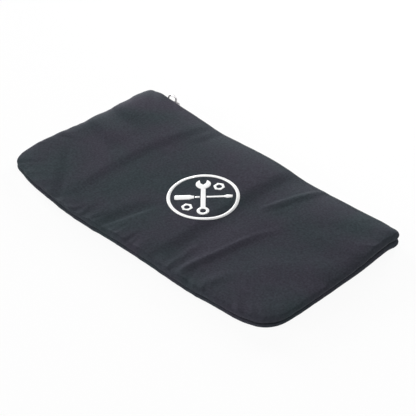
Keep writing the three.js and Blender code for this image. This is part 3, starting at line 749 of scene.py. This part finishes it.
def ring_path():
    """The middle line of the pull's wire in (x, z), once round."""
    wire = (PULL_HIGH[1] - PULL_LOW[1]) / 2
    low, high = PULL_LOW[2] + wire, PULL_HIGH[2] - wire
    right, far = PULL_HIGH[0] - wire, PULL_LOW[0] + wire
    middle = (low + high) / 2

    def arc(x, z, start):
        angles = np.radians(np.linspace(start, start + 90, RING_STEPS))
        return [(x + RING_CORNER * math.cos(a), z + RING_CORNER * math.sin(a)) for a in angles]

    t = np.linspace(0, 1, 2 * RING_STEPS)[1:-1, None]
    upper = [
        (right - RING_STRAIGHT, high), (right - RING_SHOULDER, high), (far, middle + RING_STRAIGHT),
        (far, middle),
    ]
    lower = [(x, 2 * middle - z) for x, z in reversed(upper)]
    path = arc(right - RING_CORNER, high - RING_CORNER, 0)
    path += [upper[0], *bezier(*upper, t), upper[3], *bezier(*lower, t), lower[3]]
    path += arc(right - RING_CORNER, low + RING_CORNER, -90)
    path.append((right, middle))
    return np.array(path), wire


def pull_loop():
    """The wire loop: a round wire swept round its closed path."""
    path, wire = ring_path()
    along = unit(np.roll(path, -1, axis=0) - np.roll(path, 1, axis=0))
    middle_y = (PULL_LOW[1] + PULL_HIGH[1]) / 2
    angles = angles_round(RING_SIDES)
    out, side = wire * np.cos(angles), wire * np.sin(angles)
    sections = []
    for (x, z), (ax, az) in zip(path, along):
        sections.append(np.stack([x + az * out, middle_y + side, z - ax * out], axis=1))
    return sweep("pull_loop", sections, closed=True)


# Print: a ring with a wrench and a screwdriver crossed in it, and two nuts beside them
PRINT_X = 5.9
PRINT_Y = 0.3
PRINT_RADIUS = 31.8
PRINT_STROKE = 3.0
PRINT_STEPS = 180
PRINT_LIFT = 0.1
PRINT_INK = 0.08
# The gap between tools that cross, the longest edge of the ink's triangles, and the most cuts to get there
PRINT_GAP = 0.9
PRINT_EDGE = 1.8
PRINT_CUTS = 6
WRENCH_TURN = 135
WRENCH_HALF = 2.1
WRENCH_HEAD_X = 18
WRENCH_HEAD = 6.6
WRENCH_JAW = 2.5
WRENCH_JAW_ANGLE = 8
# The throat between the jaws, and how many points each side of the head and the whole eye take
WRENCH_THROAT = [(1.4, WRENCH_JAW), (-0.6, 0), (1.4, -WRENCH_JAW)]
WRENCH_HEAD_STEPS = 14
WRENCH_EYE_STEPS = 26
WRENCH_EYE_X = -19.5
WRENCH_EYE = 5.4
WRENCH_EYE_HOLE = 2.7
# One half of the outlines of a screwdriver's handle and of its tip
SCREWDRIVER_TURN = 45
SHAFT_START = -7.2
SHAFT_HALF = 1.1
HANDLE = [(-25, -2.2), (-24, -3.2), (-12, -3.2), (-9.5, -2.0), (-8, -2.0)]
BLADE = [(18, -SHAFT_HALF), (21, -2.3), (25.5, -1.6)]
NUT_Y = 19.6
NUT_RADIUS = 5.2
NUT_HOLE = 2.5
HOLE_STEPS = 20


def turned(points, degrees):
    """Points turned round the origin."""
    cos, sin = math.cos(math.radians(degrees)), math.sin(math.radians(degrees))
    return [(x * cos - y * sin, x * sin + y * cos) for x, y in points]


def round_points(radius, start, end, steps, x=0, y=0):
    angles = np.radians(np.linspace(start, end, steps))
    return [(x + radius * math.cos(a), y + radius * math.sin(a)) for a in angles]


def circle(radius, steps, x=0, y=0, start=0):
    return round_points(radius, start, start + 360 - 360 / steps, steps, x, y)


def symmetric(half):
    """A closed outline from one half of it, mirrored in the X axis."""
    return half + [(x, -y) for x, y in reversed(half)]


def wrench():
    """An open-end wrench along X, with a ring at its other end."""
    neck = math.degrees(math.asin(WRENCH_HALF / WRENCH_HEAD))
    mouth = math.degrees(math.asin(WRENCH_JAW / WRENCH_HEAD)) + WRENCH_JAW_ANGLE
    outline = round_points(WRENCH_HEAD, 180 - neck, mouth, WRENCH_HEAD_STEPS, WRENCH_HEAD_X)
    outline += [(WRENCH_HEAD_X + x, y) for x, y in WRENCH_THROAT]
    outline += round_points(WRENCH_HEAD, -mouth, neck - 180, WRENCH_HEAD_STEPS, WRENCH_HEAD_X)
    neck = math.degrees(math.asin(WRENCH_HALF / WRENCH_EYE))
    outline += round_points(WRENCH_EYE, -neck, neck - 360, WRENCH_EYE_STEPS, WRENCH_EYE_X)
    return [outline, circle(WRENCH_EYE_HOLE, HOLE_STEPS, WRENCH_EYE_X)]


def screwdriver():
    """The outlines of a screwdriver along X, with a gap where the wrench crosses it."""
    crossing = WRENCH_HALF + PRINT_GAP
    shaft = [(SHAFT_START, -SHAFT_HALF), (-crossing, -SHAFT_HALF)]
    return [symmetric(half) for half in (HANDLE, shaft, [(crossing, -SHAFT_HALF), *BLADE])]


def print_shapes():
    """Outlines, each followed by its holes, round the middle of the print."""
    shapes = [[circle(PRINT_RADIUS, PRINT_STEPS), circle(PRINT_RADIUS - PRINT_STROKE, PRINT_STEPS)]]
    shapes.append([turned(loop, WRENCH_TURN) for loop in wrench()])
    shapes += [[turned(loop, SCREWDRIVER_TURN)] for loop in screwdriver()]
    for y in (NUT_Y, -NUT_Y):
        shapes.append([circle(NUT_RADIUS, 6, 0, y, start=30), circle(NUT_HOLE, HOLE_STEPS, 0, y)])
    return shapes


def print_on(top):
    """The print as thin ink that follows the cloth."""
    flat = bmesh.new()
    for loops in print_shapes():
        loops = [[Vector((x, y, 0)) for x, y in loop] for loop in loops]
        corners = [flat.verts.new(p) for loop in loops for p in loop]
        for triangle in tessellate_polygon(loops):
            flat.faces.new([corners[k] for k in triangle])
    for _ in range(PRINT_CUTS):
        long = [e for e in flat.edges if e.calc_length() > PRINT_EDGE]
        if not long:
            break
        bmesh.ops.subdivide_edges(flat, edges=long, cuts=1)
        bmesh.ops.triangulate(flat, faces=flat.faces)
    flat.verts.index_update()
    points = [top.lay(PRINT_X + v.co.x, PRINT_Y + v.co.y, PRINT_LIFT) for v in flat.verts]
    faces = [tuple(v.index for v in f.verts) for f in flat.faces]
    flat.free()
    obj = mesh_object("print", points, faces)
    ink = obj.modifiers.new("ink", "SOLIDIFY")
    ink.thickness = PRINT_INK * MM
    return obj


# Materials: the drift of cloth between two tones, its fine spots, its weave, and the grain of metal
CLOTH_ROUGHNESS = 0.85
TONE_SCALE = 22
TONE_DETAIL = 3
TONE_RANGE = (0.35, 0.65)
MOTTLE_SCALE = 550
MOTTLE_DETAIL = 2
MOTTLE = 0.8
# The pitch of Blender's wave texture at a scale of 1, in metres
WAVE_PITCH = math.pi / 10
WEAVE_WAVER = 0.6
WEAVE_STRENGTH = 0.5
GRAIN_DETAIL = 4
GRAIN_DEPTH = 0.03
GRAIN_STRENGTH = 0.4


def add_node(made, kind, **inputs):
    """A new node of a material or world, with the values of its inputs."""
    node = made.node_tree.nodes.new(kind)
    for key, value in inputs.items():
        node.inputs[key.replace("_", " ")].default_value = value
    return node


def link(made, source, target):
    made.node_tree.links.new(source, target)


def math_node(made, operation, *values):
    """The result of an operation on values that are numbers or outputs of other nodes."""
    node = add_node(made, "ShaderNodeMath")
    node.operation = operation
    for value, socket in zip(values, node.inputs):
        if isinstance(value, bpy.types.NodeSocket):
            link(made, value, socket)
        else:
            socket.default_value = value
    return node.outputs[0]


def on_object(made, node):
    """The node reads its pattern at places on the object, in metres."""
    spot = add_node(made, "ShaderNodeTexCoord").outputs["Object"]
    link(made, spot, node.inputs["Vector"])
    return node.outputs["Fac"]


def noise(made, scale, detail):
    return on_object(made, add_node(made, "ShaderNodeTexNoise", Scale=scale, Detail=detail))


def tones(made, color, other):
    """A colour that drifts between two tones."""
    ramp = add_node(made, "ShaderNodeValToRGB")
    for stop, position, tone in zip(ramp.color_ramp.elements, TONE_RANGE, (color, other)):
        stop.position = position
        stop.color = (*tone, 1)
    link(made, noise(made, TONE_SCALE, TONE_DETAIL), ramp.inputs["Fac"])
    return ramp.outputs["Color"]


def mottled(made, tone):
    """A tone with fine spots that are lighter or darker by up to half of MOTTLE."""
    spots = noise(made, MOTTLE_SCALE, MOTTLE_DETAIL)
    spotted = add_node(made, "ShaderNodeHueSaturation")
    link(made, tone, spotted.inputs["Color"])
    link(made, math_node(made, "MULTIPLY_ADD", spots, MOTTLE, 1 - MOTTLE / 2), spotted.inputs["Value"])
    return spotted.outputs["Color"]


def weave(made, pitch):
    """The height of a plain weave: threads along X and along Y cross over and under each other."""
    waves = []
    for direction in ("X", "Y"):
        scale = WAVE_PITCH / (pitch * MM)
        wave = add_node(made, "ShaderNodeTexWave", Scale=scale, Distortion=WEAVE_WAVER)
        wave.bands_direction = direction
        waves.append(on_object(made, wave))
    return math_node(made, "MULTIPLY", *waves)


def bump(made, surface, height, distance, strength):
    node = add_node(made, "ShaderNodeBump", Strength=strength, Distance=distance * MM)
    link(made, height, node.inputs["Height"])
    link(made, node.outputs["Normal"], surface.inputs["Normal"])


def shader(name, color, roughness, metallic=0, specular=0.5):
    """A material of one plain colour, and its shader for more."""
    made = bpy.data.materials.new(name)
    made.use_nodes = True
    surface = made.node_tree.nodes["Principled BSDF"]
    surface.inputs["Base Color"].default_value = (*color, 1)
    surface.inputs["Roughness"].default_value = roughness
    surface.inputs["Metallic"].default_value = metallic
    surface.inputs["Specular IOR Level"].default_value = specular
    return made, surface


def cloth(name, color, other, pitch, depth, sheen=0.03, sheen_roughness=0.5):
    """Woven cloth that drifts between two tones. The pitch and depth are its weave's."""
    made, surface = shader(name, color, CLOTH_ROUGHNESS, specular=0)
    surface.inputs["Sheen Weight"].default_value = sheen
    surface.inputs["Sheen Roughness"].default_value = sheen_roughness
    link(made, mottled(made, tones(made, color, other)), surface.inputs["Base Color"])
    bump(made, surface, weave(made, pitch), depth, WEAVE_STRENGTH)
    return made


def metal(name, color, roughness, grain):
    made, surface = shader(name, color, roughness, metallic=1)
    bump(made, surface, noise(made, grain, GRAIN_DETAIL), GRAIN_DEPTH, GRAIN_STRENGTH)
    return made


NYLON = cloth(
    "nylon", (0.0385, 0.0489, 0.0556), (0.0463, 0.0452, 0.0587), 0.45, 0.08, sheen=0.14, sheen_roughness=0.3,
)
LINING_CLOTH = cloth("lining cloth", (0.022, 0.024, 0.028), (0.025, 0.026, 0.03), 0.6, 0.06)
TAPE_CLOTH = cloth("tape cloth", (0.018, 0.019, 0.022), (0.022, 0.022, 0.025), 0.9, 0.12)
THREAD = cloth("thread", (0.064, 0.068, 0.078), (0.067, 0.068, 0.08), 0.4, 0.04)
TEETH = shader("tooth plastic", (0.012, 0.012, 0.013), 0.35)[0]
WIRE = metal("pull wire", (0.62, 0.6, 0.61), 0.26, 900)
SLIDER = metal("slider metal", (0.5, 0.49, 0.5), 0.36, 700)
INK = shader("white ink", (0.92, 0.92, 0.92), 0.7, specular=0.2)[0]


def paint(obj, made):
    obj.data.materials.clear()
    obj.data.materials.append(made)
    return obj


def build_back():
    """The back panel with its lining, the binding, and its half of the zipper."""
    panel = BackPanel()
    cloth_obj = paint(panel.build(), NYLON)
    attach(cloth_obj, "back_panel")
    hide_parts("back_shell", "back_padding")

    rim = Rim(INNER_STATIONS, front=False)
    lining_top = BACK_PADDING + LINING_GAP + LINING
    inside = lining("back_lining_cloth", lambda d: rim.ring(d, lining_top), lining_top)
    paint(inside, LINING_CLOTH)
    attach(inside, "back_panel")
    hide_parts("back_lining")

    binding = paint(seam_binding(rim), TAPE_CLOTH)
    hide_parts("seam_binding")
    open_with_mouth(binding)

    lip = Lip(panel.rim)
    tape = sweep("lower_tape", tape_sections(lip, LOWER_TAPE_LOW, LOWER_TAPE_HIGH, -1))
    paint(tape, TAPE_CLOTH)
    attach(tape, "back_panel")
    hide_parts("lower_zip_tape")

    teeth = paint(teeth_row("lower_teeth_row", LOWER_TEETH_LOW, LOWER_TEETH_HIGH, -1), TEETH)
    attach(teeth, "back_panel")
    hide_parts("lower_teeth")

    height = tape_height(0, -1) + TAPE / 2
    stitches = stitch_row("lower_stitches", lambda x: (x, lip.y(x) - STITCH_INSET, height))
    paint(stitches, THREAD)
    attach(stitches, "back_panel")
    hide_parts("lower_lip_stitching")


def build_front():
    """The front panel with its lining, its half of the zipper, and the print."""
    panel = FrontPanel(FRONT_STATIONS)
    cloth_obj = paint(panel.build(), NYLON)
    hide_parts("front_shell", "front_padding")
    top = Top(cloth_obj)
    lip = Lip(panel.rim)

    inner = FrontPanel(INNER_STATIONS)
    drop = PADDING + LINING_GAP
    inside = lining("front_lining_cloth", lambda d: inner.top_ring(d) - (0, 0, drop), panel.middle() - drop)
    paint(inside, LINING_CLOTH)
    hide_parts("front_lining")

    tape = sweep("upper_tape", tape_sections(lip, TAPE_LOW, TAPE_HIGH, 1))
    paint(tape, TAPE_CLOTH)
    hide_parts("upper_zip_tape")

    teeth = paint(teeth_row("upper_teeth_row", UPPER_TEETH_LOW, UPPER_TEETH_HIGH, 1), TEETH)
    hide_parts("upper_teeth")

    stitches = stitch_row("upper_stitches", lambda x: top.lay(x, lip.y(x) - STITCH_INSET, STITCH_LIFT))
    paint(stitches, THREAD)
    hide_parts("upper_lip_stitching")

    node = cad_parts["upper_top_stop"]
    stop = add_object("upper_stop", node.data.copy())
    stop.matrix_world = node.matrix_world
    chamfer(stop, METAL_CHAMFER)
    paint(stop, SLIDER)
    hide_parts("upper_top_stop")

    picture = paint(print_on(top), INK)
    for obj in (cloth_obj, inside, tape, teeth, stitches, stop, picture):
        open_with_mouth(obj)


def build_metal():
    """The wire loop, and the solids of the slider and the stops with rounded edges."""
    loop = paint(pull_loop(), WIRE)
    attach(loop, "pull")
    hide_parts("pull_ring")
    for node in ("slider_body", "slider_crown", "lower_top_stop", "bottom_stop"):
        paint(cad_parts[node], SLIDER)
        chamfer(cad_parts[node], METAL_CHAMFER)


# Studio
CAMERA_TARGET = (11.7, 0.53, 6)
CAMERA_AZIMUTH = 45
CAMERA_ELEVATION = 36.74
CAMERA_ROLL = 0.5
CAMERA_DISTANCE = 1538.9
CAMERA_LENS = 153.43
CAMERA_SENSOR = 36
CAMERA_CLIP = (0.05, 50)
# The floor's width in metres, its colour, and how far it lies under the bag
FLOOR_SIZE = 12
FLOOR_COLOR = 0.9
FLOOR_DROP = 0.2
# How much of the floor is plain glow to the camera and in reflections, and how much to the rest
FLOOR_WHITE = 0.92
FLOOR_GLOW = 0.95
AMBIENT = 0.02
# Each light's azimuth, elevation and width in degrees, and its share of the light on a level face
LIGHTS = {
    "left": (255, 8, 20, 0.215),
    "near_left": (315, 11, 24, 0.09),
    "front": (340, 60, 50, 0.19),
    "side": (90, 60, 50, 0.29),
}
# The panel of light behind the mouth, which is close enough to fade across the bag
PANEL_AZIMUTH = 195
PANEL_ELEVATION = 13
PANEL_DISTANCE = 900
PANEL_SIZE = 300
PANEL_SHARE = 0.21


def back_vector(azimuth, elevation):
    """From the object towards a viewer or a light."""
    a, e = math.radians(azimuth), math.radians(elevation)
    return Vector((math.sin(a) * math.cos(e), -math.cos(a) * math.cos(e), math.sin(e)))


def looking(name, data, back, roll=0):
    """A camera or light that looks at the bag, with a roll in degrees."""
    obj = add_object(name, data)
    obj.rotation_mode = "QUATERNION"
    obj.rotation_quaternion = Quaternion(back, math.radians(roll)) @ (-back).to_track_quat("-Z", "Y")
    return obj


def build_camera():
    data = bpy.data.cameras.new("camera")
    data.lens = CAMERA_LENS
    data.sensor_width = CAMERA_SENSOR
    data.clip_start, data.clip_end = CAMERA_CLIP
    back = back_vector(CAMERA_AZIMUTH, CAMERA_ELEVATION)
    camera = looking("camera", data, back, CAMERA_ROLL)
    camera.location = Vector(CAMERA_TARGET) * MM + back * CAMERA_DISTANCE * MM
    bpy.context.scene.camera = camera


def white_for_camera(made, plain, bright, share, otherwise=0):
    """Mixes a plain shader with a bright one, with another share for camera and glossy rays."""
    path = add_node(made, "ShaderNodeLightPath").outputs
    either = math_node(made, "MAXIMUM", path["Is Camera Ray"], path["Is Glossy Ray"])
    mix = add_node(made, "ShaderNodeMixShader")
    link(made, math_node(made, "MULTIPLY_ADD", either, share - otherwise, otherwise), mix.inputs["Fac"])
    link(made, plain.outputs[0], mix.inputs[1])
    link(made, bright.outputs[0], mix.inputs[2])
    return mix.outputs[0]


def build_floor():
    half = FLOOR_SIZE / 2
    corners = [(-half, -half, 0), (half, -half, 0), (half, half, 0), (-half, half, 0)]
    mesh = bpy.data.meshes.new("floor")
    mesh.from_pydata(corners, [], [(0, 1, 2, 3)])
    floor = add_object("floor", mesh)
    floor.location.z = -FLOOR_DROP * MM
    made = bpy.data.materials.new("floor")
    made.use_nodes = True
    nodes = made.node_tree.nodes
    nodes.remove(nodes["Principled BSDF"])
    diffuse = add_node(made, "ShaderNodeBsdfDiffuse", Color=(FLOOR_COLOR, FLOOR_COLOR, FLOOR_COLOR, 1))
    surface = white_for_camera(made, diffuse, add_node(made, "ShaderNodeEmission"), FLOOR_WHITE, FLOOR_GLOW)
    link(made, surface, nodes["Material Output"].inputs["Surface"])
    mesh.materials.append(made)


def build_world():
    """White to the camera, and next to dark for everything else."""
    world = bpy.data.worlds.new("studio")
    bpy.context.scene.world = world
    world.use_nodes = True
    nodes = world.node_tree.nodes
    ambient = nodes["Background"]
    ambient.inputs["Color"].default_value = (1, 1, 1, 1)
    ambient.inputs["Strength"].default_value = AMBIENT
    white = add_node(world, "ShaderNodeBackground", Color=(1, 1, 1, 1))
    link(world, white_for_camera(world, ambient, white, 1), nodes["World Output"].inputs["Surface"])


def build_lights():
    for name, (azimuth, elevation, width, share) in LIGHTS.items():
        data = bpy.data.lights.new(name, "SUN")
        data.energy = math.pi * share / math.sin(math.radians(elevation))
        data.angle = math.radians(width)
        looking(name, data, back_vector(azimuth, elevation))
    # The panel's share holds at the middle of the bag
    data = bpy.data.lights.new("panel", "AREA")
    data.size = PANEL_SIZE * MM
    distance = PANEL_DISTANCE * MM
    data.energy = math.pi**2 * PANEL_SHARE * distance**2 / math.sin(math.radians(PANEL_ELEVATION))
    back = back_vector(PANEL_AZIMUTH, PANEL_ELEVATION)
    panel = looking("panel", data, back)
    panel.location = back * distance
    panel.visible_camera = False


build_back()
build_front()
build_metal()
build_camera()
build_floor()
build_world()
build_lights()
bpy.context.scene.view_settings.view_transform = "Standard"
